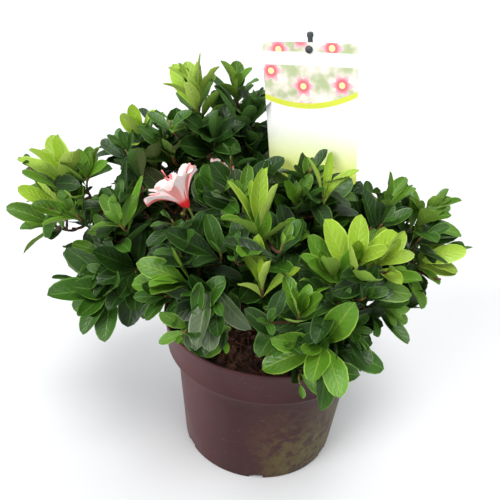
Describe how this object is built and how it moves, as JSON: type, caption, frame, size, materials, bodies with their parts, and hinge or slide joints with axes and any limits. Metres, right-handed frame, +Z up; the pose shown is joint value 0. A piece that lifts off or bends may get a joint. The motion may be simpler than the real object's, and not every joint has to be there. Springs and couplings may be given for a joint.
{
  "type": "potted azalea shrub",
  "caption": "Young evergreen azalea shrub in a tapered nursery pot of potting mix, with a blossom and a plain plant label on a stick.",
  "frame": {"origin": "middle of the pot's flat underside", "axes": "+Z up along the pot's axis; -Y the side the label faces; -X towards the long left bough"},
  "size_m": [0.3831, 0.2766, 0.3843],
  "materials": {
    "pot_plastic": "satin dark brown-mauve moulded plastic, slightly dusty and scuffed",
    "potting_mix": "moist dark bark and peat mix",
    "bark": "thin flaking grey-brown bark, reddish on young shoots",
    "leaves": "semi-gloss evergreen leaves, yellow-green on new shoots",
    "petals": "white petals with coral stripes",
    "label_card": null,
    "label_stick": "dark plastic"
  },
  "bodies": {
    "root": {"bough_back": "bark", "bough_back_left": "bark", "bough_back_mid": "bark", "bough_back_right": "bark", "bough_blossom": "bark", "bough_centre": "bark", "bough_front_left": "bark", "bough_front_low_left": "bark", "bough_front_low_right": "bark", "bough_front_mid": "bark", "bough_front_right": "bark", "bough_label_front": "bark", "bough_left": "bark", "bough_left_inner": "bark", "bough_left_low": "bark", "bough_middle": "bark", "bough_right": "bark", "bough_right_front": "bark", "bough_right_low": "bark", "bough_right_tip": "bark", "bough_top": "bark", "bough_top_left": "bark", "bough_top_right": "bark", "foliage_back": "leaves", "foliage_back_left": "leaves", "foliage_back_mid": "leaves", "foliage_back_right": "leaves", "foliage_blossom": "petals", "foliage_centre": "leaves", "foliage_front_left": "leaves", "foliage_front_low_left": "leaves", "foliage_front_low_right": "leaves", "foliage_front_mid": "leaves", "foliage_front_right": "leaves", "foliage_label_front": "leaves", "foliage_left_inner": "leaves", "foliage_left_low": "leaves", "foliage_left_tip": "leaves", "foliage_middle": "leaves", "foliage_right_front": "leaves", "foliage_right_low": "leaves", "foliage_right_tip": "leaves", "foliage_right_upper": "leaves", "foliage_top_left": "leaves", "foliage_top_mid": "leaves", "foliage_top_right": "leaves", "label_card": "label_card", "label_stick": "label_stick", "pot": "pot_plastic", "potting_mix": "potting_mix", "trunk": "bark"}
  },
  "joints": []
}
